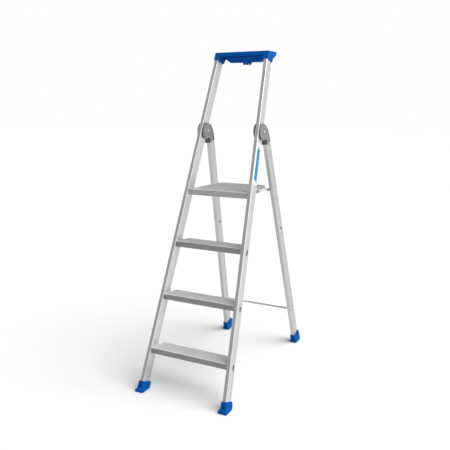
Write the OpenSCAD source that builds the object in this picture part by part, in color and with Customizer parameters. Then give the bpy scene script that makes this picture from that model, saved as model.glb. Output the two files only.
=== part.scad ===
// Folding aluminium step ladder with a D-shaped platform and a tool tray.
// Origin: centre of the footprint on the floor. +Z is up, the steps face -Y, +X is the user's right.

/* [Overall] */
// Height of the platform's standing surface above the floor
platform_height = 878; // [870:1:884]
// Height of the first step above the floor
first_step = 185; // [180:1:190]
// Rise from one step to the next
step_pitch = 230; // [226:1:232]
// Distance between the front and the rear feet, measured on the stile centre lines at the floor
base_span = 842; // [836:1:848]
// Half the spacing of the front stiles at the floor, measured to their centres
front_half_width = 210.4; // [208:0.1:213]
// Lean of the front stiles from the vertical
front_lean = 21.85; // [21.5:0.05:22.2]
// Lean of the rear stiles from the vertical
rear_lean = 15.64; // [15.4:0.02:15.9]
// Sideways taper of the front stiles
front_taper = 3.0; // [2.8:0.1:3.2]
// Sideways taper of the rear stiles
rear_taper = 2.87; // [2.7:0.01:3.0]

/* [Stiles] */
// Thickness of the front stiles across the ladder
front_thick = 18; // [17:0.1:18.5]
// Depth of the front stiles
front_deep = 54; // [52:0.5:55]
// Thickness of the rear stiles across the ladder
rear_thick = 18.5; // [17.5:0.1:19]
// Depth of the rear stiles
rear_deep = 51.5; // [50:0.5:53]
// Wall of every stile
wall = 1.5; // [1.2:0.1:2]
// Outer corner radius of every stile
stile_round = 3; // [2:0.5:4]

/* [Steps and platform] */
// Depth of a step
step_deep = 82; // [78:1:84]
// Height of a step's front skirt
skirt = 26.6; // [24:0.2:28]
// Width of the platform at its front edge
platform_wide = 298; // [292:1:300]
// Depth of the platform
platform_deep = 286; // [280:1:288]

/* [Hidden] */
$fn = 64;

// Pivot axes, all parallel to X, as [y, z]
hinge_at = [54, 1140];
platform_pivot = [-58, 864];
link_free = [52, 866];
link_pivot = [186, 856];

// Plane of the two flat links
link_in = 142.5;
link_thick = 3;
rail_x = 131.5;
rail_thick = 2.5;

rivet_r = 5;
pivot_r = 4;
running_gap = 0.05;
face_gap = 0.3;

stile_bottom = 24;
stile_top_z = 1492;
tray_low_z = 1471;
tray_top_z = 1505;
core_low_z = 1086;
rod_at_z = 197.5;
rod_r = 5;
spare_hole_z = 661;
spare_hole_r = 4.5;
cheek_thick = 8;
cheek_relief = 2.3;
rib = 0.7;
sheet = 2;

front_base_y = -base_span / 2;
rear_base_y = base_span / 2;
front_slope = tan(front_lean);
rear_slope = tan(rear_lean);
half_front_y = front_deep / 2 / cos(front_lean);
half_rear_y = rear_deep / 2 / cos(rear_lean);

// X of the middle plane of a stile at [y, z]
function front_mid(y, z) = front_half_width
    - tan(front_taper) * (sin(front_lean) * (y - front_base_y) + cos(front_lean) * z);
function rear_drop(y, z) = tan(rear_taper) * (-sin(rear_lean) * (y - rear_base_y) + cos(rear_lean) * z);
hinge_x = front_mid(hinge_at[0], hinge_at[1]);
rear_half_width = hinge_x + rear_drop(hinge_at[0], hinge_at[1]);
function rear_mid(y, z) = rear_half_width - rear_drop(y, z);

// Y of a stile's centre line at height z
function front_y(z) = front_base_y + front_slope * z;
function rear_y(z) = rear_base_y - rear_slope * z;
function step_z(k) = first_step + (k - 1) * step_pitch;

// Point on a line from p tangent to a circle, on the side given by turn = 1 or -1
function tangent(c, r, p, turn) =
    let (d = norm(p - c), a = atan2(p[1] - c[1], p[0] - c[0]) + turn * acos(r / d))
    c + r * [cos(a), sin(a)];

module on_front(side) {
    translate([side * front_half_width, front_base_y, 0])
        rotate([-front_lean, 0, 0]) rotate([0, -side * front_taper, 0]) children();
}

module on_rear(side) {
    translate([side * rear_half_width, rear_base_y, 0])
        rotate([rear_lean, 0, 0]) rotate([0, -side * rear_taper, 0]) children();
}

// Extrudes a [y, z] outline along X, from x0 to x1
module along_x(x0, x1) {
    translate([x0, 0, 0]) rotate([90, 0, 90]) linear_extrude(x1 - x0) children();
}

// Extrudes an [x, z] outline along Y, from y0 to y1
module along_y(y0, y1) {
    translate([0, y1, 0]) rotate([90, 0, 0]) linear_extrude(y1 - y0) children();
}

module pin(p, r, x0, x1) {
    along_x(x0, x1) translate(p) circle(r);
}

module both_sides() {
    children();
    mirror([1, 0, 0]) children();
}

module rounded_rect(w, d, r) {
    square([w, d - 2 * r], center = true);
    square([w - 2 * r, d], center = true);
    for (x = [-1, 1], y = [-1, 1]) translate([x * (w / 2 - r), y * (d / 2 - r)]) circle(r);
}

// Shallow groove down both broad faces of a stile
groove_wide = 9;
groove_deep = 0.5;
groove_off = 3.8;
module stile_outline(w, d) {
    difference() {
        rounded_rect(w, d, stile_round);
        for (x = [-w / 2 - 1, w / 2 - groove_deep]) translate([x, groove_off - groove_wide / 2])
            square([groove_deep + 1, groove_wide]);
    }
}

module tube_section(w, d) {
    difference() {
        stile_outline(w, d);
        rounded_rect(w - 2 * wall, d - 2 * wall, stile_round - wall);
    }
}

/* Stiles */

// Hollow tongue of step k in [y, z], parallel to the stile, grown by g
tongue_wide = 9;
tongue_high = 22;
tongue_drop = 21;
tongue_back = 5.8;
module tongue_outline(k, g = 0) {
    z = step_z(k) - tongue_drop;
    translate([front_y(z) + tongue_back, z]) rotate(-front_lean)
        square([tongue_wide + 2 * g, tongue_high + 2 * g], center = true);
}

module front_stile(side) {
    top = stile_top_z / cos(front_lean) / cos(front_taper);
    color("silver") difference() {
        on_front(side) translate([0, 0, stile_bottom]) linear_extrude(top - stile_bottom)
            tube_section(front_thick, front_deep);
        for (k = [1:3]) along_x(min(0, side * 300), max(0, side * 300)) tongue_outline(k);
        pin(hinge_at, rivet_r, min(0, side * 300), max(0, side * 300));
        pin(platform_pivot, pivot_r, min(0, side * 300), max(0, side * 300));
    }
}
module left_front_stile() { front_stile(-1); }
module right_front_stile() { front_stile(1); }

module rear_stile(side) {
    top = core_low_z / cos(rear_lean) / cos(rear_taper);
    x0 = min(0, side * 300);
    x1 = max(0, side * 300);
    color("silver") difference() {
        on_rear(side) translate([0, 0, stile_bottom]) linear_extrude(top - stile_bottom)
            tube_section(rear_thick, rear_deep);
        pin([rear_y(rod_at_z), rod_at_z], rod_r, x0, x1);
        pin([rear_y(spare_hole_z) + 1, spare_hole_z], spare_hole_r, x0, x1);
        pin(link_pivot, pivot_r, x0, x1);
    }
}
module left_rear_stile() { rear_stile(-1); }
module right_rear_stile() { rear_stile(1); }

/* Steps */

// Everything outside the plane that lies off from a front stile's middle, on both sides
module beyond_front(off, back = -200) {
    for (side = [-1, 1]) on_front(side)
        translate([side > 0 ? off : -off - 200, back, 0]) cube([200, 400, 1700]);
}

step_set_back = 5;
rib_pitch = 4;
notch = 12;
nosing_high = 7;
overhang = 3;
module step_profile(k) {
    rib_from = 6;
    rib_count = floor((step_deep - 2 * rib_from) / rib_pitch);
    web_y = front_y(step_z(k) - tongue_drop / 2) + tongue_back;
    translate([front_y(step_z(k)) - half_front_y + step_set_back, step_z(k)]) {
        translate([3, -sheet - rib]) square([step_deep - 6, sheet]);
        for (i = [0:rib_count]) translate([rib_from + i * rib_pitch, -rib - 0.01]) square([1.6, rib + 0.01]);
        for (y = [3, step_deep - 3]) intersection() {
            difference() {
                translate([y, -3]) circle(3);
                translate([y, -3]) circle(3 - sheet);
            }
            translate([y < 10 ? 0 : step_deep - 3, -3]) square([3, 3]);
        }
        translate([0, -nosing_high]) square([sheet, nosing_high - 3]);
        translate([0, -nosing_high]) square([overhang + sheet, 1.6]);
        translate([overhang, -skirt]) square([sheet, skirt - nosing_high + 1]);
        translate([overhang, -skirt]) square([7, sheet]);
        translate([step_deep - sheet, -skirt + 4]) square([sheet, skirt - 7]);
        translate([step_deep - 7, -skirt + 4]) square([7, sheet]);
    }
    translate([web_y - 1, step_z(k) - tongue_drop]) square([sheet, tongue_drop - sheet]);
}

module step(k) {
    color("gainsboro") {
        difference() {
            along_x(-240, 240) difference() {
                step_profile(k);
                tongue_outline(k, -wall);
            }
            beyond_front(-front_thick / 2);
            beyond_front(-front_thick / 2 - notch, front_deep / 2);
        }
        difference() {
            along_x(-240, 240) difference() {
                tongue_outline(k);
                tongue_outline(k, -wall);
            }
            beyond_front(front_thick / 2);
        }
    }
}
module step_1() { step(1); }
module step_2() { step(2); }
module step_3() { step(3); }

/* Tool tray on top of the front stiles */

tray_back = 252;
tray_skin = 3.2;
end_inner_x = 112;
rim = 5;
bowl_floor_z = 1459;
grip_low = 1487;
grip_deep = 24;
tray_screw_s = 1602;
tray_screw_r = 2.5;
tray_screw_long = 5;
tray_screw_head = 2.5;
function tray_front(z) = front_y(z) - half_front_y - tray_skin;

module end_outline() {
    v_back = front_y(1454) + half_front_y;
    polygon([
        [tray_front(tray_low_z), tray_low_z], [tray_front(tray_top_z), tray_top_z],
        [tray_back, tray_top_z], [tray_back, 1499], [241, 1486], [204, 1471],
        [v_back + 1, 1454], [v_back - 6, 1454]
    ]);
}

// Sloping-walled bowl: a prism along Y cut by a prism along X
module bowl(inset) {
    top = tray_top_z + (inset > 0 ? 1 : 0);
    low = bowl_floor_z + inset;
    intersection() {
        along_y(150, 250) polygon([
            [-79 + inset, low], [79 - inset, low], [113 - inset, 1484],
            [113 - inset, top], [-113 + inset, top], [-113 + inset, 1484]
        ]);
        along_x(-120, 120) polygon([
            [190 + inset, low], [224 - inset, low], [244 - inset, 1488],
            [244 - inset, top], [184 + inset, top], [184 + inset, 1488]
        ]);
    }
}

// Two-pronged hook under the bowl for hanging a bucket or a cable
module bowl_hook() {
    low = 1448;
    slot = 6;
    difference() {
        along_y(213, 222) polygon([[-18, low], [18, low], [24, bowl_floor_z + 1], [-24, bowl_floor_z + 1]]);
        for (x = [-8, 8]) translate([x - slot / 2, 212, low - 1]) cube([slot, 11, 8]);
    }
}

module tool_tray() {
    socket_s = 1500;
    top_s = stile_top_z / cos(front_lean) / cos(front_taper);
    color("royalblue") difference() {
        union() {
            both_sides() along_x(end_inner_x, 145) end_outline();
            along_x(-120, 120) polygon([
                [tray_front(grip_low), grip_low], [tray_front(tray_top_z), tray_top_z],
                [tray_front(tray_top_z) + grip_deep, tray_top_z],
                [tray_front(tray_top_z) + grip_deep, tray_top_z - rim],
                [tray_front(grip_low) + grip_deep - 6, grip_low]
            ]);
            translate([-120, tray_front(tray_top_z) + 1, tray_top_z - rim])
                cube([240, tray_back - tray_front(tray_top_z) - 1, rim]);
            bowl(0);
            for (i = [-3:3]) translate([i * 24 - 1.5, tray_front(tray_top_z) + grip_deep - 10, 1484])
                cube([3, 24, tray_top_z - rim - 1484 + 1]);
            bowl_hook();
        }
        bowl(2.5);
        beyond_front(front_thick / 2 + tray_skin);
        for (side = [-1, 1]) on_front(side) translate([0, 0, socket_s])
            linear_extrude(top_s - socket_s) rounded_rect(front_thick, front_deep, stile_round);
        tray_screw_place() {
            cylinder(r = tray_screw_r, h = tray_screw_long + 1);
            translate([0, 0, tray_screw_long]) cylinder(r = 5.5, h = 40);
        }
    }
}

// Screw axis through the tray into the back of each stile, as +Z from the stile's back
module tray_screw_place() {
    for (side = [-1, 1]) on_front(side) translate([0, front_deep / 2, tray_screw_s]) rotate([-90, 0, 0])
        children();
}

module tray_screws() {
    color("silver") tray_screw_place() {
        cylinder(r = tray_screw_r, h = tray_screw_long);
        translate([0, 0, tray_screw_long]) cylinder(r = 4.5, h = tray_screw_head);
    }
}

/* Feet */

foot_skin = 3;
foot_flare = 3;
foot_tuck = 5;
flute_deep = 1.4;
front_foot_top = 39.5;
rear_foot_top = 54.5;
front_sole_half = 24;
rear_sole_half = 21;
ledge_z = 7;

// Sole under a foot at [x, y]: an eight-sided plate that is widest at its ledge
module sole(x, y, half) {
    translate([x, y, 0]) intersection() {
        linear_extrude(17) polygon([
            [-18, -35], [18, -35], [half, -27], [half, 8], [15, 36], [-15, 36], [-half, 8], [-half, -27]
        ]);
        along_y(-40, 40) polygon([
            [-half + 5, 0], [half - 5, 0], [half, ledge_z], [11, 17], [-11, 17], [-half, ledge_z]
        ]);
        along_x(-half, half) difference() {
            polygon([[-31, 0], [31, 0], [36, ledge_z], [30, 17], [-30, 17], [-35, ledge_z]]);
            for (groove_y = [-18, -9, 0, 9]) translate([groove_y, -1]) square([2.5, 2.5]);
        }
    }
}

// Cap on the end of a stile of w by d, in the stile's own axes: its back flares out below top_s
module foot_cap(w, d, top_s) {
    half = w / 2 + foot_skin;
    front = -d / 2 - foot_skin;
    back = d / 2 + foot_skin;
    intersection() {
        along_x(-30, 30) polygon([
            [front, -foot_tuck], [front, top_s], [back, top_s], [back + 7, top_s - 17], [back + 7, -foot_tuck]
        ]);
        along_y(-50, 50) polygon([
            [-half - foot_flare, -foot_tuck], [half + foot_flare, -foot_tuck], [half, top_s], [-half, top_s]
        ]);
    }
}

foot_screw_r = 2;
foot_screw_long = 4;
foot_screw_head_r = 3.8;
foot_screw_drop = 9;

// Screw axis through the back of a foot, as +Z from the back of a stile of depth d
module foot_screw_place(d, top_s) {
    translate([0, d / 2, top_s - foot_screw_drop]) rotate([-90, 0, 0]) children();
}

// Flutes on a foot's sides, the slot and pocket in its front and its screw hole
module foot_relief(w, d, top_s) {
    slope = foot_flare / (top_s + foot_tuck);
    floor_x = w / 2 + foot_skin + slope * top_s - flute_deep;
    for (side = [-1, 1], y = [-21, -9, 3, 15]) rotate([0, -side * atan(slope), 0])
        translate([side * (floor_x + 2.5) - 2.5, y, 14]) cube([5, 7, top_s]);
    translate([-4.5, -d / 2 - foot_skin - 1, 14]) cube([9, foot_skin, top_s]);
    translate([-4.5, -d / 2 - foot_skin - 1, 10]) cube([9, 10, stile_bottom - 12]);
    foot_screw_place(d, top_s) {
        cylinder(r = foot_screw_r, h = foot_screw_long + 1);
        translate([0, 0, foot_screw_long]) cylinder(r = foot_screw_head_r + 1, h = 30);
    }
}

module above_ledge() {
    intersection() {
        children();
        translate([-300, -600, ledge_z + 1]) cube([600, 1200, 200]);
    }
}

module front_foot(side) {
    color("royalblue") difference() {
        union() {
            sole(side * (front_half_width - 0.5), front_base_y, front_sole_half);
            above_ledge() on_front(side) foot_cap(front_thick, front_deep, front_foot_top);
        }
        on_front(side) translate([0, 0, stile_bottom]) linear_extrude(100)
            rounded_rect(front_thick, front_deep, stile_round);
        on_front(side) foot_relief(front_thick, front_deep, front_foot_top);
    }
}
module left_front_foot() { front_foot(-1); }
module right_front_foot() { front_foot(1); }

module rear_foot(side) {
    color("royalblue") difference() {
        union() {
            sole(side * (rear_half_width - 0.5), rear_base_y, rear_sole_half);
            above_ledge() on_rear(side) foot_cap(rear_thick, rear_deep, rear_foot_top);
        }
        on_rear(side) translate([0, 0, stile_bottom]) linear_extrude(100)
            rounded_rect(rear_thick, rear_deep, stile_round);
        on_rear(side) foot_relief(rear_thick, rear_deep, rear_foot_top);
    }
}
module left_rear_foot() { rear_foot(-1); }
module right_rear_foot() { rear_foot(1); }

module foot_screw() {
    cylinder(r = foot_screw_r, h = foot_screw_long);
    translate([0, 0, foot_screw_long]) cylinder(r = foot_screw_head_r, h = 1.6);
}
module foot_screws_front() {
    color("silver") for (side = [-1, 1]) on_front(side) foot_screw_place(front_deep, front_foot_top)
        foot_screw();
}
module foot_screws_rear() {
    color("silver") for (side = [-1, 1]) on_rear(side) foot_screw_place(rear_deep, rear_foot_top)
        foot_screw();
}

/* Label on the outer face of the right stile */

module side_label() {
    low_s = 981;
    high_s = 1174;
    color("white") on_front(1) translate([front_thick / 2, -front_deep / 2 + stile_round, low_s])
        cube([0.3, front_deep - 2 * stile_round, high_s - low_s]);
}

/* Hinges */

head_r = 6.5;
module hinge_rivets() {
    reach = rear_thick / 2 + cheek_thick + face_gap + 0.5;
    color("silver") both_sides() {
        pin(hinge_at, rivet_r, hinge_x - reach, hinge_x + reach);
        pin(hinge_at, head_r, hinge_x + reach, hinge_x + reach + 2.5);
        pin(hinge_at, head_r, hinge_x - reach - 2.5, hinge_x - reach);
    }
}

module hinge_sleeves() {
    color("gray") both_sides() intersection() {
        difference() {
            pin(hinge_at, rivet_r + 2, hinge_x - 12, hinge_x + 12);
            pin(hinge_at, rivet_r, hinge_x - 13, hinge_x + 13);
        }
        on_front(1) translate([-front_thick / 2 + wall, -40, 1100])
            cube([front_thick - 2 * wall, 80, 300]);
    }
}

// Block that carries on the rear stile, [y, z]
module core_outline() {
    front = 68 + front_slope * (1176 - hinge_at[1]);
    polygon([
        [rear_y(core_low_z - 7) - half_rear_y, core_low_z - 7], [rear_y(1150) - half_rear_y, 1150],
        [front, 1172], [96, 1168], [115, 1150], [130, 1126],
        [rear_y(core_low_z + 7) + half_rear_y, core_low_z + 7]
    ]);
}

egg_at = [48, 1139];
egg_r = 38;
module cheek_outline() {
    translate(egg_at) circle(egg_r);
    polygon([egg_at, [57, 1104], [83, 1104], [85, 1080], [108, 1088], [109, 1098], [106, 1117],
        [95, 1140], tangent(egg_at, egg_r, [95, 1140], 1)]);
}

// Round-topped nose on the front of the core, below the cheeks
nose_wide = 22.8;
nose_low_z = 1079;
nose_top_z = 1106;
nose_out = 7;
module core_nose(side) {
    half = nose_wide / 2;
    mid_z = (nose_low_z + nose_top_z) / 2;
    x = rear_mid(rear_y(mid_z), mid_z);
    intersection() {
        rear_slab(side, -half, half);
        translate([side * x, 0, 0]) along_y(0, 200) {
            translate([-half, nose_low_z]) square([nose_wide, nose_top_z - half - nose_low_z]);
            translate([0, nose_top_z - half]) circle(half);
        }
        on_rear(side) translate([-50, -rear_deep / 2 - nose_out, 900]) cube([100, nose_out, 400]);
        along_x(-300, 300) translate([60, nose_low_z]) polygon([[0, 0], [60, 0], [60, 60], [0, 60]]);
    }
}

module rear_slab(side, x0, x1) {
    on_rear(side) translate([side > 0 ? x0 : -x1, -200, 900]) cube([x1 - x0, 400, 400]);
}

module hinge_core(side) {
    plug_s = 1050;
    top_s = core_low_z / cos(rear_lean) / cos(rear_taper);
    x0 = min(0, side * 300);
    x1 = max(0, side * 300);
    color("dimgray") difference() {
        union() {
            intersection() {
                along_x(x0, x1) core_outline();
                rear_slab(side, -rear_thick / 2, rear_thick / 2);
                on_rear(side) translate([-50, -200, top_s]) cube([100, 400, 300]);
            }
            on_rear(side) translate([0, 0, plug_s]) linear_extrude(top_s - plug_s + 5)
                rounded_rect(rear_thick - 2 * wall - 1, rear_deep - 2 * wall, stile_round - wall);
            core_nose(side);
        }
        for (p = peg_at) pin(p, peg_r, x0, x1);
    }
}
module left_hinge_core() { hinge_core(-1); }
module right_hinge_core() { hinge_core(1); }

// Pegs that lock the cheeks to the core
peg_at = [[98, 1106], [85, 1138]];
peg_r = 4;
peg_long = 6;
module hinge_cheek(side, out) {
    x0 = min(0, side * 300);
    x1 = max(0, side * 300);
    inner = rear_thick / 2;
    outer = inner + cheek_thick;
    color("darkgray") {
        difference() {
            intersection() {
                along_x(x0, x1) cheek_outline();
                rear_slab(side, out > 0 ? inner : -outer, out > 0 ? outer : -inner);
            }
            difference() {
                rear_slab(side, out > 0 ? inner - 1 : -inner - cheek_relief,
                    out > 0 ? inner + cheek_relief : -inner + 1);
                along_x(x0, x1) core_outline();
            }
            pin(hinge_at, rivet_r + running_gap, x0, x1);
        }
        intersection() {
            for (p = peg_at) pin(p, peg_r, x0, x1);
            rear_slab(side, out > 0 ? inner - peg_long : -inner, out > 0 ? inner : -inner + peg_long);
        }
    }
}
module left_hinge_inner_cheek() { hinge_cheek(-1, -1); }
module left_hinge_outer_cheek() { hinge_cheek(-1, 1); }
module right_hinge_inner_cheek() { hinge_cheek(1, -1); }
module right_hinge_outer_cheek() { hinge_cheek(1, 1); }

/* Rear cross rod */

rod_outer_x = rear_mid(rear_y(rod_at_z), rod_at_z) + rear_thick / 2;
module rear_cross_rod() {
    color("silver") {
        pin([rear_y(rod_at_z), rod_at_z], rod_r, -rod_outer_x - 2.6, rod_outer_x + 2.6);
        both_sides() pin([rear_y(rod_at_z), rod_at_z], 7, rod_outer_x + 2.6, rod_outer_x + 4.6);
    }
}

module rod_washers() {
    color("gray") both_sides() difference() {
        pin([rear_y(rod_at_z), rod_at_z], 10, rod_outer_x + 0.6, rod_outer_x + 2.6);
        pin([rear_y(rod_at_z), rod_at_z], rod_r, rod_outer_x - 1, rod_outer_x + 3);
    }
}

/* Platform */

// Half the platform's width at its front edge, the rear corner's circle and the bowed rear edge
deck_back_y = 192;
corner_r = 52;
corner_x = 80;
bow_r = 900;
deck_front_y = deck_back_y - platform_deep;
nose_r = 4;
deck_skirt = 14;
deck_sheet = 2.5;
spacer_r = 8;
stop_r = 6;

function deck_points(g) =
    let (c = [corner_x, deck_back_y - bow_r + sqrt(pow(bow_r - corner_r, 2) - pow(corner_x, 2))],
        f = [platform_wide / 2 - g, deck_front_y + nose_r],
        start = tangent(c, corner_r - g, f, 1) - c,
        a0 = atan2(start[1], start[0]),
        a1 = atan2(c[1] - deck_back_y + bow_r, corner_x),
        steps = 12,
        side = [for (i = [0:steps]) let (a = a0 + (a1 - a0) * i / steps)
            c + (corner_r - g) * [cos(a), sin(a)]],
        bow = [for (i = [1:5]) let (a = a1 + (90 - a1) * i / 6)
            [0, deck_back_y - bow_r] + (bow_r - g) * [cos(a), sin(a)]],
        right = concat([f], side, bow))
    concat(right, [[0, deck_back_y - g]],
        [for (i = [len(right) - 1:-1:0]) [-right[i][0], right[i][1]]]);

module platform_deck() {
    rib_from = 12;
    deck_rib_pitch = 8;
    top = platform_height - rib;
    nose_y = deck_front_y + nose_r;
    color("silver") {
        difference() {
            translate([0, 0, platform_height - deck_skirt])
                linear_extrude(deck_skirt - rib) polygon(deck_points(0));
            translate([0, 0, platform_height - deck_skirt - 1])
                linear_extrude(deck_skirt - rib - deck_sheet + 1) polygon(deck_points(sheet));
            translate([-200, nose_y - 10, platform_height - deck_skirt - 1]) cube([400, 10 + sheet, deck_skirt]);
            translate([0, -46, 0]) cylinder(r = 2.5, h = 1000);
            pin(platform_pivot, spacer_r + face_gap, -160, 160);
            pin(link_free, stop_r, -160, 160);
        }
        intersection() {
            translate([0, 0, top - 0.2]) linear_extrude(rib + 0.2) polygon(deck_points(6));
            for (i = [0:31]) translate([-200, deck_front_y + rib_from + i * deck_rib_pitch, 0])
                cube([400, 2.4, platform_height]);
            difference() {
                translate([-200, -200, 0]) cube([400, 500, 1000]);
                translate([0, -46, 0]) cylinder(r = 6, h = 1000);
            }
        }
        difference() {
            along_x(-platform_wide / 2, platform_wide / 2) {
                translate([nose_y, top - nose_r]) circle(nose_r);
                translate([nose_y, top - deck_sheet]) square([sheet + 3, deck_sheet]);
                translate([nose_y - nose_r, platform_height - skirt - 1])
                    square([sheet, skirt + 1 - nose_r - rib]);
                translate([nose_y - nose_r, platform_height - skirt - 1]) square([9, sheet]);
            }
        }
    }
}

module platform_rail(side) {
    rail_top = platform_height - rib - deck_sheet;
    x0 = side > 0 ? rail_x : -rail_x - rail_thick;
    color("silver") difference() {
        union() {
            translate([x0, -76, 855]) cube([rail_thick, 150, rail_top - 855]);
            translate([side > 0 ? rail_x - 14 : -rail_x, -76, rail_top - rail_thick])
                cube([14, 150, rail_thick]);
        }
        pin(platform_pivot, pivot_r, x0 - 1, x0 + rail_thick + 1);
        pin(link_free, pivot_r, x0 - 1, x0 + rail_thick + 1);
        for (y = [-50, 0, 50]) translate([side * (rail_x - 7), y, 860]) cylinder(r = 2, h = 30);
    }
}
module left_platform_rail() { platform_rail(-1); }
module right_platform_rail() { platform_rail(1); }

// Blind rivets under the deck that hold the rails up to it
module deck_rivets() {
    rail_top = platform_height - rib - deck_sheet;
    color("silver") for (side = [-1, 1], y = [-50, 0, 50]) translate([side * (rail_x - 7), y, rail_top]) {
        translate([0, 0, -rail_thick]) cylinder(r = 2, h = rail_thick);
        translate([0, 0, -rail_thick - 1.5]) cylinder(r = 4, h = 1.5);
    }
}

// Rivets that carry the platform's front on the stiles
pivot_outer_x = front_mid(platform_pivot[0], platform_pivot[1]) + front_thick / 2;
module platform_pivot_rivets() {
    color("silver") both_sides() {
        pin(platform_pivot, pivot_r - running_gap, rail_x - 0.4, pivot_outer_x + 0.5);
        pin(platform_pivot, 6.5, rail_x - 2.4, rail_x - 0.4);
        pin(platform_pivot, 6.5, pivot_outer_x + 0.5, pivot_outer_x + 2.5);
    }
}

module platform_pivot_spacers() {
    stile_in = pivot_outer_x - front_thick;
    color("gainsboro") both_sides() difference() {
        pin(platform_pivot, spacer_r, rail_x + rail_thick + face_gap, stile_in - 0.5);
        pin(platform_pivot, pivot_r - running_gap, rail_x, stile_in);
    }
}

/* Links between the platform and the rear stiles */

link_eye = 8;
link_wide = 13;
link_knee = [98, 869];
link_head = 1.2;
link_head_r = 5;

// Bar of the link's width from a to b
module link_bar(a, b) {
    translate(a) rotate(atan2(b[1] - a[1], b[0] - a[0])) translate([0, -link_wide / 2])
        square([norm(b - a), link_wide]);
}

module link_outline() {
    difference() {
        union() {
            link_bar(link_free, link_knee);
            link_bar(link_knee, link_pivot);
            translate(link_knee) circle(link_wide / 2 + 0.3);
            for (p = [link_free, link_pivot]) translate(p) circle(link_eye);
        }
        translate(link_pivot) circle(pivot_r);
        translate(link_free) circle(3);
    }
}

module link_plate(side) {
    color("silver") mirror([side > 0 ? 0 : 1, 0, 0]) difference() {
        along_x(link_in, link_in + link_thick) link_outline();
        pin(link_free, link_head_r, link_in + link_thick - link_head, link_in + link_thick + 1);
    }
}
module left_link() { link_plate(-1); }
module right_link() { link_plate(1); }

// Flush rivet set in the link's free eye. It stops short of the rail's stop, so that end stays open
module link_rivet(side) {
    color("silver") mirror([side > 0 ? 0 : 1, 0, 0]) {
        pin(link_free, 3, link_in, link_in + link_thick - link_head);
        pin(link_free, link_head_r, link_in + link_thick - link_head, link_in + link_thick);
    }
}
module left_link_rivet() { link_rivet(-1); }
module right_link_rivet() { link_rivet(1); }

module link_stops() {
    color("gray") both_sides() {
        pin(link_free, stop_r, rail_x + rail_thick, link_in - face_gap);
        pin(link_free, pivot_r, rail_x - 0.01, rail_x + rail_thick);
        pin(link_free, pivot_r + 0.2, rail_x - 2, rail_x);
    }
}

link_outer_x = rear_mid(link_pivot[0], link_pivot[1]) + rear_thick / 2;
module link_pivot_rivets() {
    color("silver") both_sides() {
        pin(link_pivot, pivot_r - running_gap, link_in - 0.4, link_outer_x + 0.5);
        pin(link_pivot, 6.5, link_in - 2.4, link_in - 0.39);
        pin(link_pivot, 6.5, link_outer_x + 0.49, link_outer_x + 2.7);
    }
}

module link_pivot_spacers() {
    stile_in = link_outer_x - rear_thick;
    color("gray") both_sides() difference() {
        pin(link_pivot, 7, link_in + link_thick + face_gap, stile_in - 0.4);
        pin(link_pivot, pivot_r - running_gap, link_in, stile_in);
    }
}

left_front_stile();
right_front_stile();
step_1();
step_2();
step_3();
tool_tray();
tray_screws();
left_front_foot();
right_front_foot();
foot_screws_front();
side_label();
hinge_rivets();
hinge_sleeves();
platform_pivot_rivets();
platform_pivot_spacers();
left_rear_stile();
right_rear_stile();
rear_cross_rod();
rod_washers();
left_rear_foot();
right_rear_foot();
foot_screws_rear();
left_hinge_core();
right_hinge_core();
left_hinge_inner_cheek();
left_hinge_outer_cheek();
right_hinge_inner_cheek();
right_hinge_outer_cheek();
link_pivot_rivets();
link_pivot_spacers();
platform_deck();
left_platform_rail();
right_platform_rail();
deck_rivets();
link_stops();
left_link();
right_link();
left_link_rivet();
right_link_rivet();
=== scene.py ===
import math

import bmesh
import bpy
from mathutils import Matrix, Vector


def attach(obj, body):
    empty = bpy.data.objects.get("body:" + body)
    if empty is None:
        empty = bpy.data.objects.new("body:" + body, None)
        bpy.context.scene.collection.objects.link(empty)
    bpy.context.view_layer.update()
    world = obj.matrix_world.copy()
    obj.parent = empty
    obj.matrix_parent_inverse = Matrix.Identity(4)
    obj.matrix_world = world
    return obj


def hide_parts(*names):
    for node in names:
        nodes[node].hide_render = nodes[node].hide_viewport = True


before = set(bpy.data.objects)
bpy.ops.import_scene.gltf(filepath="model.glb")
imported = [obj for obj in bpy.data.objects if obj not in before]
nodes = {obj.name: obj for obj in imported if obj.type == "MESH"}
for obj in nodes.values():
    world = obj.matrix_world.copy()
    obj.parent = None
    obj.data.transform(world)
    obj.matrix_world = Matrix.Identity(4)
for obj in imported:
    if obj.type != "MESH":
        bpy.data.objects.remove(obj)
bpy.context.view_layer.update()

# Lean and sideways taper of the stiles, half their spacing at the floor, and their thickness
FRONT_LEAN = math.radians(21.85)
REAR_LEAN = math.radians(15.64)
FRONT_TAPER = math.radians(3.0)
REAR_TAPER = math.radians(2.87)
FRONT_HALF = 0.2104
REAR_HALF = 0.205678
BASE_HALF = 0.421
FRONT_THICK = 0.018
REAR_THICK = 0.0185

# Steps: how many there are, height of the first one and rise from one to the next
STEPS = 3
FIRST_STEP = 0.185
STEP_PITCH = 0.230


# ---------------------------------------------------------------- camera, light and floor

# The direction of the studio's bright backdrop, behind the ladder and to the right
BACKDROP = (0.64, 0.77, 0.0)


def make_camera(place, pitch, yaw, lens, sensor):
    data = bpy.data.cameras.new("camera")
    data.lens = lens
    data.sensor_width = sensor
    camera = bpy.data.objects.new("camera", data)
    camera.location = place
    camera.rotation_euler = (math.radians(pitch), 0.0, math.radians(yaw))
    bpy.context.scene.collection.objects.link(camera)
    bpy.context.scene.camera = camera


def make_sun(strength, direction, spread):
    data = bpy.data.lights.new("sun", "SUN")
    data.energy = strength
    data.angle = math.radians(spread)
    sun = bpy.data.objects.new("sun", data)
    sun.rotation_euler = (-Vector(direction)).to_track_quat("-Z", "Y").to_euler()
    bpy.context.scene.collection.objects.link(sun)


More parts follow.
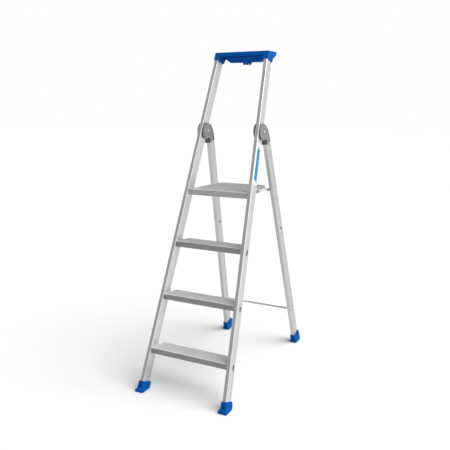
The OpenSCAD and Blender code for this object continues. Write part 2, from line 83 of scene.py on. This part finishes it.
def make_world(front_horizon, back_horizon, back_from, back_to, sky, band_top, band_end):
    """A pale cyclorama: a bright band round the horizon, under a dimmer sky.

    The band is brightest towards BACKDROP. It fades from front_horizon to back_horizon while a
    direction's share of BACKDROP goes from back_from to back_to, and it fades to the sky while a
    direction rises from band_top to band_end.
    """
    world = bpy.data.worlds.new("studio")
    world.use_nodes = True
    tree = world.node_tree
    background = tree.nodes["Background"]
    background.inputs["Color"].default_value = (1.0, 1.0, 1.0, 1.0)
    coords = tree.nodes.new("ShaderNodeTexCoord")
    split = tree.nodes.new("ShaderNodeSeparateXYZ")
    tree.links.new(coords.outputs["Generated"], split.inputs["Vector"])
    away = tree.nodes.new("ShaderNodeVectorMath")
    away.operation = "DOT_PRODUCT"
    away.inputs[1].default_value = BACKDROP
    tree.links.new(coords.outputs["Generated"], away.inputs[0])
    depth = tree.nodes.new("ShaderNodeMapRange")
    depth.inputs["From Min"].default_value = back_from
    depth.inputs["From Max"].default_value = back_to
    depth.inputs["To Min"].default_value = front_horizon
    depth.inputs["To Max"].default_value = back_horizon
    tree.links.new(away.outputs["Value"], depth.inputs["Value"])
    height = tree.nodes.new("ShaderNodeMapRange")
    height.inputs["From Min"].default_value = band_top
    height.inputs["From Max"].default_value = band_end
    height.inputs["To Max"].default_value = sky
    tree.links.new(depth.outputs["Result"], height.inputs["To Min"])
    tree.links.new(split.outputs["Z"], height.inputs["Value"])
    tree.links.new(height.outputs["Result"], background.inputs["Strength"])
    bpy.context.scene.world = world


def make_floor(half, colour):
    mesh = bpy.data.meshes.new("floor")
    mesh.from_pydata([(-half, -half, 0), (half, -half, 0), (half, half, 0), (-half, half, 0)],
                     [], [(0, 1, 2, 3)])
    floor = bpy.data.objects.new("floor", mesh)
    material = bpy.data.materials.new("studio_floor")
    material.use_nodes = True
    shader = material.node_tree.nodes["Principled BSDF"]
    shader.inputs["Base Color"].default_value = (*colour, 1.0)
    shader.inputs["Roughness"].default_value = 0.9
    mesh.materials.append(material)
    bpy.context.scene.collection.objects.link(floor)


# ---------------------------------------------------------------- materials

# Darkest and lightest shade of bare aluminium, and the painted shade of forward faces near the floor
METAL_DRIFT = (0.90, 1.06)
LOW_FRONT_SHADE = 0.74
# Where faces begin and end to count as level tops, as rounded corners and as looking forward:
# the masks of the painted top light, the painted corner highlight and the painted low shade
LEVEL_TOP = (0.5, 0.9)
ROUNDED_CORNER = (0.26, 0.42)
LOOKS_FORWARD = (-0.9, -0.6)
# Noise scales of the lines across and along an extrusion, of its clouds and of its grain
LINES_ACROSS = 700.0
LINES_ALONG = 5.0
CLOUD_SCALE = 14.0
METAL_GRAIN_SCALE = 2600.0
LINE_SHARE = 0.55
# Pointiness of edges that are just worn and fully worn
WORN_EDGE = (0.53, 0.62)
# Numbers of a Mix node's colour sockets, which share their names with its other sockets
MIX_COLOUR_A = 6
MIX_COLOUR_B = 7
MIX_COLOUR_RESULT = 2


class Graph:
    """A material's node tree, with short calls to add and join nodes."""

    def __init__(self, name):
        self.material = bpy.data.materials.new(name)
        self.material.use_nodes = True
        self.tree = self.material.node_tree
        self.shader = self.tree.nodes["Principled BSDF"]
        coords = self.tree.nodes.new("ShaderNodeTexCoord")
        self.coords = coords.outputs["Object"]
        self.normals = coords.outputs["Normal"]

    def add(self, kind, **values):
        made = self.tree.nodes.new(kind)
        for key, value in values.items():
            if hasattr(made, key):
                setattr(made, key, value)
            else:
                made.inputs[key.replace("_", " ")].default_value = value
        return made

    def join(self, output, target):
        self.tree.links.new(output, target)

    def mapped(self, scale=(1.0, 1.0, 1.0), turn=(0.0, 0.0, 0.0)):
        """Object coordinates turned into a part's own axes, then scaled."""
        rotated = self.add("ShaderNodeMapping", Rotation=turn)
        self.join(self.coords, rotated.inputs["Vector"])
        scaled = self.add("ShaderNodeMapping", Scale=scale)
        self.join(rotated.outputs["Vector"], scaled.inputs["Vector"])
        return scaled.outputs["Vector"]

    def noise(self, vector, scale, detail=2.0):
        made = self.add("ShaderNodeTexNoise", Scale=scale, Detail=detail)
        self.join(vector, made.inputs["Vector"])
        return made.outputs["Fac"]

    def ranged(self, value, low, high, from_low=0.3, from_high=0.7):
        made = self.add("ShaderNodeMapRange")
        made.inputs["From Min"].default_value = from_low
        made.inputs["From Max"].default_value = from_high
        made.inputs["To Min"].default_value = low
        made.inputs["To Max"].default_value = high
        self.join(value, made.inputs["Value"])
        return made.outputs["Result"]

    def blended(self, value, first, second):
        ramp = self.add("ShaderNodeValToRGB")
        ramp.color_ramp.elements[0].color = (*first, 1.0)
        ramp.color_ramp.elements[1].color = (*second, 1.0)
        self.join(value, ramp.inputs["Fac"])
        return ramp.outputs["Color"]

    def mixed(self, factor, first, second):
        made = self.add("ShaderNodeMix", data_type="RGBA")
        self.join(factor, made.inputs["Factor"])
        for number, colour in ((MIX_COLOUR_A, first), (MIX_COLOUR_B, second)):
            if isinstance(colour, tuple):
                made.inputs[number].default_value = (*colour, 1.0)
            else:
                self.join(colour, made.inputs[number])
        return made.outputs[MIX_COLOUR_RESULT]

    def varied(self, value, colour, darkest, lightest):
        """A colour that drifts between a darker and a lighter shade of itself."""
        return self.blended(value, shade(colour, darkest), shade(colour, lightest))

    def along(self, vector, axis):
        """One coordinate of a vector, along axis "X", "Y" or "Z"."""
        split = self.add("ShaderNodeSeparateXYZ")
        self.join(vector, split.inputs["Vector"])
        return split.outputs[axis]

    def product(self, first, second):
        made = self.add("ShaderNodeMath", operation="MULTIPLY")
        self.join(first, made.inputs[0])
        self.join(second, made.inputs[1])
        return made.outputs[0]

    def weighted(self, first, second, share):
        """The sum of two values, in which the first one's share is share."""
        rest = self.add("ShaderNodeMath", operation="MULTIPLY")
        self.join(second, rest.inputs[0])
        rest.inputs[1].default_value = 1.0 - share
        total = self.add("ShaderNodeMath", operation="MULTIPLY_ADD")
        self.join(first, total.inputs[0])
        total.inputs[1].default_value = share
        self.join(rest.outputs[0], total.inputs[2])
        return total.outputs[0]

    def upwards(self):
        """How far a face points up in the part's own axes: 1 for a level top."""
        return self.along(self.normals, "Z")

    def cornered(self):
        """How far a face lies between the part's X and Y axes: 0.5 for a true diagonal."""
        size = self.add("ShaderNodeMath", operation="ABSOLUTE")
        both = self.product(self.along(self.normals, "X"), self.along(self.normals, "Y"))
        self.join(both, size.inputs[0])
        return size.outputs[0]

    def forward_shade_mask(self, top):
        """How much painted shade a face that looks forward gets: 1 at the floor, fading to 0 at the
        height top.
        """
        forward = self.ranged(self.along(self.normals, "Y"), 1.0, 0.0, *LOOKS_FORWARD)
        low = self.ranged(self.along(self.coords, "Z"), 1.0, 0.0, 0.0, top)
        return self.product(forward, low)

    def bump(self, height, strength, distance, below=None):
        made = self.add("ShaderNodeBump", Strength=strength, Distance=distance)
        self.join(height, made.inputs["Height"])
        if below is not None:
            self.join(below, made.inputs["Normal"])
        return made.outputs["Normal"]

    def set(self, **values):
        for key, value in values.items():
            self.shader.inputs[key.replace("_", " ")].default_value = value

    def feed(self, socket, output):
        self.join(output, self.shader.inputs[socket])


def shade(colour, factor):
    return tuple(min(1.0, c * factor) for c in colour)


def aluminium(name, colour, turn, along, metallic=0.85, rough=(0.34, 0.46),
              lit_top=None, corner=None, painted_shade_top=None):
    """Extruded aluminium: fine lines along the extrusion, faint clouding and a fine grain.

    The lines run along axis number along, after turn. When a top colour is given, faces that
    point up take it as painted light on the tops, over the darker colour that stands as painted
    shade on the other faces; the rounded lengthwise corners of a stile take a painted highlight
    colour. Below a given height, faces that look forward get painted shade, darkest at the floor.
    """
    g = Graph(name)
    stretch = [LINES_ACROSS, LINES_ACROSS, LINES_ACROSS]
    stretch[along] = LINES_ALONG
    streaks = g.noise(g.mapped(tuple(stretch), turn), 1.0, 3.0)
    clouds = g.noise(g.mapped(), CLOUD_SCALE, 4.0)
    grain = g.noise(g.mapped(), METAL_GRAIN_SCALE, 1.0)
    texture = g.weighted(streaks, clouds, LINE_SHARE)
    clouding = g.ranged(texture, 0.0, 1.0)
    base = g.varied(clouding, colour, *METAL_DRIFT)
    if lit_top is not None:
        # Painted light on the faces that point up
        painted_top_light = g.varied(clouding, lit_top, *METAL_DRIFT)
        base = g.mixed(g.ranged(g.upwards(), 0.0, 1.0, *LEVEL_TOP), base, painted_top_light)
    # A painted highlight on the rounded lengthwise corners
    if corner is not None:
        base = g.mixed(g.ranged(g.cornered(), 0.0, 1.0, *ROUNDED_CORNER), base, corner)
    # Painted shade on faces that look forward, darkest at the floor
    if painted_shade_top is not None:
        base = g.mixed(g.forward_shade_mask(painted_shade_top), base, shade(colour, LOW_FRONT_SHADE))
    g.feed("Base Color", base)
    g.feed("Roughness", g.ranged(texture, *rough))
    lined = g.bump(streaks, strength=0.10, distance=0.0002)
    g.feed("Normal", g.bump(grain, strength=0.04, distance=0.0001, below=lined))
    g.set(Metallic=metallic)
    return g.material


def plastic(name, colour, rough=(0.40, 0.52), grain=0.12, gloss=0.25, ior=1.5):
    """Moulded plastic: spark-eroded grain, slow colour drift and paler worn edges."""
    grain_size = 0.0007
    g = Graph(name)
    drift = g.noise(g.mapped(), 22.0, 3.0)
    fine = g.noise(g.mapped(), 1.0 / grain_size, 2.0)
    base = g.varied(g.ranged(drift, 0.0, 1.0), colour, 0.92, 1.06)
    geometry = g.add("ShaderNodeNewGeometry")
    worn = g.ranged(geometry.outputs["Pointiness"], 0.0, 1.0, *WORN_EDGE)
    g.feed("Base Color", g.mixed(worn, base, shade(colour, 1.25)))
    g.feed("Roughness", g.ranged(fine, *rough))
    g.feed("Normal", g.bump(fine, strength=grain, distance=0.0002))
    g.set(Specular_IOR_Level=gloss, IOR=ior)
    return g.material


def steel(name, colour=(0.62, 0.62, 0.61), rough=(0.24, 0.38), metallic=0.95):
    """Zinc-plated steel with faint spangle."""
    g = Graph(name)
    spangle = g.noise(g.mapped(), 420.0, 2.0)
    g.feed("Base Color", g.varied(g.ranged(spangle, 0.0, 1.0), colour, 0.88, 1.1))
    g.feed("Roughness", g.ranged(spangle, *rough))
    g.feed("Normal", g.bump(spangle, strength=0.06, distance=0.0001))
    g.set(Metallic=metallic)
    return g.material


def film(name, colour):
    """Printed self-adhesive film with a very slight orange peel."""
    g = Graph(name)
    peel = g.noise(g.mapped(), 300.0, 2.0)
    g.feed("Base Color", g.varied(g.ranged(peel, 0.0, 1.0), colour, 0.97, 1.0))
    g.feed("Roughness", g.ranged(peel, 0.28, 0.36))
    g.feed("Normal", g.bump(peel, strength=0.03, distance=0.0002))
    g.set(Specular_IOR_Level=0.15)
    return g.material


FRONT_STILE_COLOUR = (0.625, 0.625, 0.61)
REAR_STILE_COLOUR = (0.54, 0.54, 0.53)
# The skirts' colours are painted shade and the tread and deck top colours painted light, all on one and
# the same aluminium
SKIRT_SHADED_COLOUR = (0.25, 0.25, 0.245)
DECK_SKIRT_SHADED_COLOUR = (0.37, 0.37, 0.365)
TREAD_LIT_TOP_COLOUR = (0.96, 0.96, 0.945)
# Painted highlight on the stiles' rounded corners
CORNER_HIGHLIGHT_COLOUR = (0.95, 0.95, 0.94)
DECK_LIT_TOP_COLOUR = (0.82, 0.82, 0.805)
TRAY_BLUE = (0.001, 0.076, 0.325)
FOOT_BLUE = (0.001, 0.078, 0.335)
HINGE_GREY = (0.19, 0.19, 0.195)
HINGE_DARK = (0.085, 0.085, 0.09)
NYLON_GREY = (0.50, 0.50, 0.51)
LINK_COLOUR = (0.66, 0.66, 0.65)
LABEL_WHITE = (0.78, 0.78, 0.78)
# Black of the spare-hole buttons, and of the step-end caps that are painted shade in the hollows
BLACK_PLASTIC_AND_SHADE = (0.02, 0.02, 0.021)
BAND_BLUE = (0.0, 0.20, 0.50)

# Turns that line up a part's lengthwise axis with the texture's: stiles along Z, steps along X
front_turn = (FRONT_LEAN, 0.0, 0.0)
rear_turn = (-REAR_LEAN, 0.0, 0.0)
level = (0.0, 0.0, 0.0)
ribbed = {"metallic": 0.5, "rough": (0.42, 0.55)}
blue_finish = {"gloss": 0.3, "ior": 1.12}
materials = {
    # Front stiles: a painted highlight on their rounded corners and painted shade low on their front
    # faces
    "front_stile": aluminium("front_stile_aluminium", FRONT_STILE_COLOUR, front_turn, 2,
                             corner=CORNER_HIGHLIGHT_COLOUR, painted_shade_top=1.0),
    "rear_stile": aluminium("rear_stile_aluminium", REAR_STILE_COLOUR, rear_turn, 2),
    # Steps and deck: painted light on their tops, painted shade on their skirts
    "step": aluminium("step_aluminium", SKIRT_SHADED_COLOUR, level, 0, lit_top=TREAD_LIT_TOP_COLOUR, **ribbed),
    "deck": aluminium("deck_aluminium", DECK_SKIRT_SHADED_COLOUR, level, 0, lit_top=DECK_LIT_TOP_COLOUR, **ribbed),
    "tray": plastic("tray_blue", TRAY_BLUE, **blue_finish),
    "foot": plastic("foot_blue", FOOT_BLUE, **blue_finish),
    "cheek": plastic("hinge_grey", HINGE_GREY, grain=0.2),
    "core": plastic("hinge_dark", HINGE_DARK, grain=0.2),
    "spacer": plastic("spacer_nylon", NYLON_GREY),
    "steel": steel("zinc_steel"),
    "link": steel("link_steel", LINK_COLOUR, rough=(0.38, 0.50), metallic=0.5),
    "label": film("label_white", LABEL_WHITE),
    "plug": plastic("black_plastic_and_painted_shade", BLACK_PLASTIC_AND_SHADE, gloss=0.3, ior=1.2),
    "band": film("label_band", BAND_BLUE),
}

NODE_MATERIAL = {
    "left_front_stile": "front_stile", "right_front_stile": "front_stile",
    "left_rear_stile": "rear_stile", "right_rear_stile": "rear_stile",
    "step_1": "step", "step_2": "step", "step_3": "step",
    "platform_deck": "deck", "left_platform_rail": "deck", "right_platform_rail": "deck",
    "tool_tray": "tray", "left_front_foot": "foot", "right_front_foot": "foot",
    "left_rear_foot": "foot", "right_rear_foot": "foot",
    "left_hinge_core": "core", "right_hinge_core": "core",
    "left_hinge_inner_cheek": "cheek", "left_hinge_outer_cheek": "cheek",
    "right_hinge_inner_cheek": "cheek", "right_hinge_outer_cheek": "cheek",
    "platform_pivot_spacers": "spacer", "link_pivot_spacers": "spacer", "link_stops": "spacer",
    "hinge_sleeves": "steel", "left_link": "link", "right_link": "link",
    "side_label": "label",
}
for name, node in nodes.items():
    node.data.materials.clear()
    node.data.materials.append(materials[NODE_MATERIAL.get(name, "steel")])


# ---------------------------------------------------------------- mesh tools

# Lobes of a screw's recess
RECESS_LOBES = 6.0


def add_piece(name, mesh, body, material, slot, *replaced):
    piece = bpy.data.objects.new(name, mesh)
    mesh.materials.clear()
    mesh.materials.append(materials[material])
    bpy.context.scene.collection.objects.link(piece)
    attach(piece, body)
    if replaced:
        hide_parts(*replaced)


def shade_by_angle(mesh, degrees):
    """Smooth shading, with sharp edges where two faces meet at more than this angle."""
    bm = bmesh.new()
    bm.from_mesh(mesh)
    limit = math.radians(degrees)
    for edge in bm.edges:
        edge.smooth = not (edge.is_manifold and edge.calc_face_angle(0.0) > limit)
    for face in bm.faces:
        face.smooth = True
    bm.to_mesh(mesh)
    bm.free()


def welded_copy(node, name):
    """A copy of a CAD node's mesh in which faces that meet share their vertices."""
    mesh = nodes[node].data.copy()
    mesh.name = name
    bm = bmesh.new()
    bm.from_mesh(mesh)
    bmesh.ops.remove_doubles(bm, verts=bm.verts, dist=1e-6)
    bm.to_mesh(mesh)
    bm.free()
    return mesh


def softened(node, name, voxel, passes, keep):
    """A CAD node's shape with moulded, rounded edges: remeshed, smoothed and thinned out."""
    mesh = welded_copy(node, name)
    mesh.materials.clear()
    scratch = bpy.data.objects.new(name + "_scratch", mesh)
    bpy.context.scene.collection.objects.link(scratch)
    remesh = scratch.modifiers.new("remesh", "REMESH")
    remesh.mode = "VOXEL"
    remesh.voxel_size = voxel
    smooth = scratch.modifiers.new("smooth", "SMOOTH")
    smooth.factor = 0.5
    smooth.iterations = passes
    thin = scratch.modifiers.new("thin", "DECIMATE")
    thin.ratio = keep
    graph = bpy.context.evaluated_depsgraph_get()
    made = bpy.data.meshes.new_from_object(scratch.evaluated_get(graph))
    made.name = name
    bpy.data.objects.remove(scratch)
    for attribute in list(made.color_attributes):
        made.color_attributes.remove(attribute)
    shade_by_angle(made, 50.0)
    return made


def islands(node):
    """The loose parts of a CAD node, each as its (lowest, highest) corner."""
    mesh = welded_copy(node, "islands")
    bm = bmesh.new()
    bm.from_mesh(mesh)
    left = set(bm.verts)
    found = []
    while left:
        stack = [left.pop()]
        members = []
        while stack:
            vertex = stack.pop()
            members.append(vertex.co.copy())
            for edge in vertex.link_edges:
                other = edge.other_vert(vertex)
                if other in left:
                    left.remove(other)
                    stack.append(other)
        low = Vector([min(c[i] for c in members) for i in range(3)])
        high = Vector([max(c[i] for c in members) for i in range(3)])
        found.append((low, high))
    bm.free()
    bpy.data.meshes.remove(mesh)
    return sorted(found, key=lambda box: tuple(round(v, 4) for v in (*box[0], *box[1])))


def skin(bm, rings):
    """Joins rings of equally many vertices with a skin that is closed at both ends."""
    for lower, upper in zip(rings, rings[1:]):
        for i in range(len(lower)):
            j = (i + 1) % len(lower)
            bm.faces.new((lower[i], lower[j], upper[j], upper[i]))
    bm.faces.new(rings[0][::-1])
    bm.faces.new(rings[-1])


def lathe(bm, profile, matrix, segments=36):
    """Turns (radius, height, lobes) rings about the local Z axis, closed at both ends."""
    rings = []
    for radius, height, lobes in profile:
        ring = []
        for i in range(segments):
            angle = 2.0 * math.pi * i / segments
            r = radius * (1.0 + lobes * math.cos(RECESS_LOBES * angle))
            point = Vector((r * math.cos(angle), r * math.sin(angle), height))
            ring.append(bm.verts.new(matrix @ point))
        rings.append(ring)
    skin(bm, rings)


def finished_mesh(name, bm, sharp=40.0):
    bmesh.ops.recalc_face_normals(bm, faces=bm.faces)
    mesh = bpy.data.meshes.new(name)
    bm.to_mesh(mesh)
    bm.free()
    shade_by_angle(mesh, sharp)
    return mesh


# A domed head's rings from its crown down: share of its radius, share of its thickness. The
# first three are the dimple that the riveting tool leaves.
DOME_RINGS = [(0.156, 0.42), (0.26, 0.38), (0.299, 0.06), (0.50, 0.06), (0.72, 0.20),
              (0.88, 0.40), (0.97, 0.64), (1.0, 0.84), (0.98, 1.0)]
# A pan head's rings from the bottom of its recess: shares of radius and height, size of the lobes
PAN_RINGS = [(0.10, 0.45, 0.0), (0.42, 0.45, 0.16), (0.46, 0.97, 0.16), (0.66, 1.0, 0.0),
             (0.86, 0.86, 0.0), (0.97, 0.55, 0.0), (1.0, 0.2, 0.0), (1.0, 0.0, 0.0)]


def dome(radius, thick, start, step):
    """Rings of a domed head that starts at its crown; step is +1 or -1 along the axis."""
    return [(share * radius, start + step * thick * drop, 0.0) for share, drop in DOME_RINGS]


# The X axis, and a stile's backward axis, as a lathe's Z axis
ALONG_X = Matrix.Rotation(math.radians(90.0), 4, "Y")
BACKWARDS = Matrix.Rotation(math.radians(-90.0), 4, "X")
TIP_LONG = 0.0006


def rivets_along_x(node, name, body, shank, head):
    """Rivets with a domed head at each end, one for each loose part of the CAD node."""
    bm = bmesh.new()
    for low, high in islands(node):
        radius = (high.z - low.z) / 2.0
        place = Matrix.Translation((low + high) / 2.0)
        half = (high.x - low.x) / 2.0
        profile = dome(radius, head, -half, 1.0)
        profile += [(shank, -half + head, 0.0), (shank, half - head, 0.0)]
        profile += dome(radius, head, half, -1.0)[::-1]
        lathe(bm, profile, place @ ALONG_X)
    add_piece(name, finished_mesh(name, bm), body, "steel", "fastener_steel", node)


def front_axes(side):
    return (Matrix.Translation((side * FRONT_HALF, -BASE_HALF, 0.0))
            @ Matrix.Rotation(-FRONT_LEAN, 4, "X") @ Matrix.Rotation(-side * FRONT_TAPER, 4, "Y"))


def rear_axes(side):
    return (Matrix.Translation((side * REAR_HALF, BASE_HALF, 0.0))
            @ Matrix.Rotation(REAR_LEAN, 4, "X") @ Matrix.Rotation(-side * REAR_TAPER, 4, "Y"))


def screws(node, name, body, axes, height, start, shank_r, shank, head_r, head):
    """Pan-head screws with a lobed recess, driven in from the back.

    A screw's tip is at start, measured back from the middle of its stile.
    """
    bm = bmesh.new()
    top = start + shank
    profile = [(share * head_r, top + head * rise, lobes) for share, rise, lobes in PAN_RINGS]
    profile += [(shank_r, top, 0.0), (shank_r, start + TIP_LONG, 0.0), (shank_r * 0.7, start, 0.0)]
    for side in (-1, 1):
        lathe(bm, profile, axes(side) @ Matrix.Translation((0.0, 0.0, height)) @ BACKWARDS, 48)
    add_piece(name, finished_mesh(name, bm), body, "steel", "fastener_steel", node)


# ---------------------------------------------------------------- moulded plastic pieces

def moulding(node, name, body, material, slot, voxel, passes, keep):
    add_piece(name, softened(node, name, voxel, passes, keep), body, material, slot, node)


TRAY_VOXEL = 0.0010
SMALL_VOXEL = 0.0007
moulding("tool_tray", "tray_moulding", "front_frame", "tray", "tray_blue",
         TRAY_VOXEL, passes=2, keep=0.35)
for side_name in ("left", "right"):
    for place_name in ("front", "rear"):
        foot = f"{side_name}_{place_name}_foot"
        moulding(foot, foot + "_moulding", place_name + "_frame", "foot", "foot_blue",
                 SMALL_VOXEL, passes=2, keep=0.25)
    for face_name in ("inner", "outer"):
        cheek = f"{side_name}_hinge_{face_name}_cheek"
        moulding(cheek, cheek + "_moulding", "rear_frame", "cheek", "hinge_grey",
                 SMALL_VOXEL, passes=6, keep=0.3)
    core = f"{side_name}_hinge_core"
    moulding(core, core + "_moulding", "rear_frame", "core", "hinge_dark",
             SMALL_VOXEL, passes=3, keep=0.3)


# ---------------------------------------------------------------- rivets and screws

rivets_along_x("hinge_rivets", "hinge_rivet_heads", "front_frame", shank=0.005, head=0.0025)
rivets_along_x("platform_pivot_rivets", "platform_rivet_heads", "front_frame",
               shank=0.00395, head=0.002)
rivets_along_x("link_pivot_rivets", "link_rivet_heads", "rear_frame", shank=0.00395, head=0.002)
screws("tray_screws", "tray_screw_heads", "front_frame", front_axes, height=1.602,
       start=0.027, shank_r=0.0025, shank=0.005, head_r=0.0045, head=0.0025)
screws("foot_screws_front", "front_foot_screw_heads", "front_frame", front_axes, height=0.0305,
       start=0.027, shank_r=0.002, shank=0.004, head_r=0.0038, head=0.0016)
screws("foot_screws_rear", "rear_foot_screw_heads", "rear_frame", rear_axes, height=0.0455,
       start=0.02575, shank_r=0.002, shank=0.004, head_r=0.0038, head=0.0016)


# ---------------------------------------------------------------- plugs and buttons

# Middle of a step's end tongue, below the step's top and behind the stile's centre line
TONGUE_DROP = 0.021
TONGUE_BACK = 0.0058
PLUG_SIDES = 28
# Distance in from the stile's outer face, half width and half height of each ring of a plug
PLUG_RINGS = [(-0.0003, 0.0016, 0.0076), (-0.0004, 0.0022, 0.0084), (-0.0009, 0.0030, 0.0095),
              (-0.0010, 0.0038, 0.0105), (-0.0006, 0.0046, 0.0113), (-0.0001, 0.0048, 0.0115),
              (-0.0001, 0.0029, 0.0094), (0.0060, 0.0028, 0.0093)]


def squared(value):
    """Pushes a cosine or sine out towards a square with rounded corners."""
    return math.copysign(abs(value) ** 0.3, value)


def tongue_shade_plugs(name):
    """A dark cap with a sunk middle on each end of the three hollow step tongues: painted shade in the
    hollow ends
    """
    bm = bmesh.new()
    for step in range(STEPS):
        height = FIRST_STEP + STEP_PITCH * step - TONGUE_DROP
        depth = TONGUE_BACK + math.tan(FRONT_LEAN) * height - BASE_HALF
        for side in (-1, 1):
            along = math.sin(FRONT_LEAN) * (depth + BASE_HALF) + math.cos(FRONT_LEAN) * height
            outer = (FRONT_HALF - math.tan(FRONT_TAPER) * along
                     + FRONT_THICK / 2.0 / math.cos(FRONT_TAPER))
            place = (Matrix.Translation((side * outer, depth, height))
                     @ Matrix.Rotation(-FRONT_LEAN, 4, "X") @ Matrix.Diagonal((-side, 1.0, 1.0, 1.0)))
            rings = []
            for inward, half_wide, half_high in PLUG_RINGS:
                ring = []
                for i in range(PLUG_SIDES):
                    angle = 2.0 * math.pi * (i + 0.5) / PLUG_SIDES
                    y = half_wide * squared(math.cos(angle))
                    z = half_high * squared(math.sin(angle))
                    ring.append(bm.verts.new(place @ Vector((inward, y, z))))
                rings.append(ring)
            skin(bm, rings)
    return finished_mesh(name, bm, sharp=35.0)


# Dark caps standing as painted shade inside the hollow step ends
add_piece("tongue_shade_plugs", tongue_shade_plugs("tongue_shade_plugs"), "front_frame", "plug", "spacer_plastic")

# Middle of the spare hole, above the floor and behind the stile's centre line
SPARE_HOLE_HEIGHT = 0.661
SPARE_HOLE_BACK = 0.001


def hole_buttons(name, radius, shank, shank_long, head):
    """A snap-in button on both faces of each rear stile, over the spare hole through it."""
    bm = bmesh.new()
    height = SPARE_HOLE_HEIGHT
    depth = BASE_HALF - math.tan(REAR_LEAN) * height + SPARE_HOLE_BACK
    along = math.cos(REAR_LEAN) * height - math.sin(REAR_LEAN) * (depth - BASE_HALF)
    middle = REAR_HALF - math.tan(REAR_TAPER) * along
    for side in (-1, 1):
        for face in (-1, 1):
            off = face * REAR_THICK / 2.0 / math.cos(REAR_TAPER)
            place = Matrix.Translation((side * middle + off, depth, height)) @ ALONG_X
            profile = dome(radius, head, face * head, -face)
            profile += [(shank, 0.0, 0.0), (shank, -face * shank_long, 0.0)]
            lathe(bm, profile, place)
    return finished_mesh(name, bm)


buttons = hole_buttons("spare_hole_buttons", radius=0.0060, shank=0.0042, shank_long=0.0030, head=0.0010)
add_piece("spare_hole_buttons", buttons, "rear_frame", "plug", "spacer_plastic")


# ---------------------------------------------------------------- printed label

# Straight pieces in a rounded corner of a plate
CORNER_STEPS = 4


def slanted_plate(name, axes, x_low, x_high, y_span, s_span, slant, corner):
    """A thin plate on a stile's side: its ends slant by slant and its corners are rounded."""
    (y0, y1), (s0, s1) = y_span, s_span
    centre_y = (y0 + y1) / 2.0
    centre_s = (s0 + s1 + slant) / 2.0
    corners = [(y0, s0 + slant), (y1, s0), (y1, s1), (y0, s1 + slant)]
    outline = []
    for i, point in enumerate(corners):
        here = Vector(point)
        before = (Vector(corners[i - 1]) - here).normalized()
        after = (Vector(corners[(i + 1) % 4]) - here).normalized()
        for k in range(CORNER_STEPS + 1):
            t = k / CORNER_STEPS
            a = here + before * corner * (1.0 - t) ** 2
            outline.append(a + after * corner * t ** 2)
    bm = bmesh.new()
    rings = []
    for x, shrink in ((x_low, 1.0), (x_high - 0.3 * (x_high - x_low), 1.0), (x_high, 0.994)):
        ring = []
        for point in outline:
            y = centre_y + (point.x - centre_y) * shrink
            z = centre_s + (point.y - centre_s) * shrink
            ring.append(bm.verts.new(axes @ Vector((x, y, z))))
        rings.append(ring)
    skin(bm, rings)
    return finished_mesh(name, bm, sharp=30.0)


label_axes = front_axes(1)
label_x = FRONT_THICK / 2.0
sheet = slanted_plate("label_sheet", label_axes, label_x, label_x + 0.00028,
                      y_span=(-0.0238, 0.0238), s_span=(0.9815, 1.1735), slant=0.0, corner=0.003)
band = slanted_plate("label_band", label_axes, label_x + 0.00025, label_x + 0.00045,
                     y_span=(-0.0160, 0.0160), s_span=(0.993, 1.146), slant=0.012, corner=0.0015)
add_piece("label_sheet", sheet, "front_frame", "label", "label_film", "side_label")
add_piece("label_band", band, "front_frame", "band", "label_film")


# ---------------------------------------------------------------- studio

make_camera(place=(1.2327, -2.4139, 1.2615), pitch=78.325, yaw=27.23, lens=46.63, sensor=36.0)
make_world(front_horizon=0.50, back_horizon=1.0, back_from=-0.4, back_to=0.02,
           sky=0.38, band_top=0.20, band_end=0.40)
make_floor(half=30.0, colour=(0.75, 0.75, 0.75))
make_sun(strength=3.7, direction=(0.55, 0.05, 0.83), spread=60.0)
bpy.context.scene.view_settings.view_transform = "Standard"
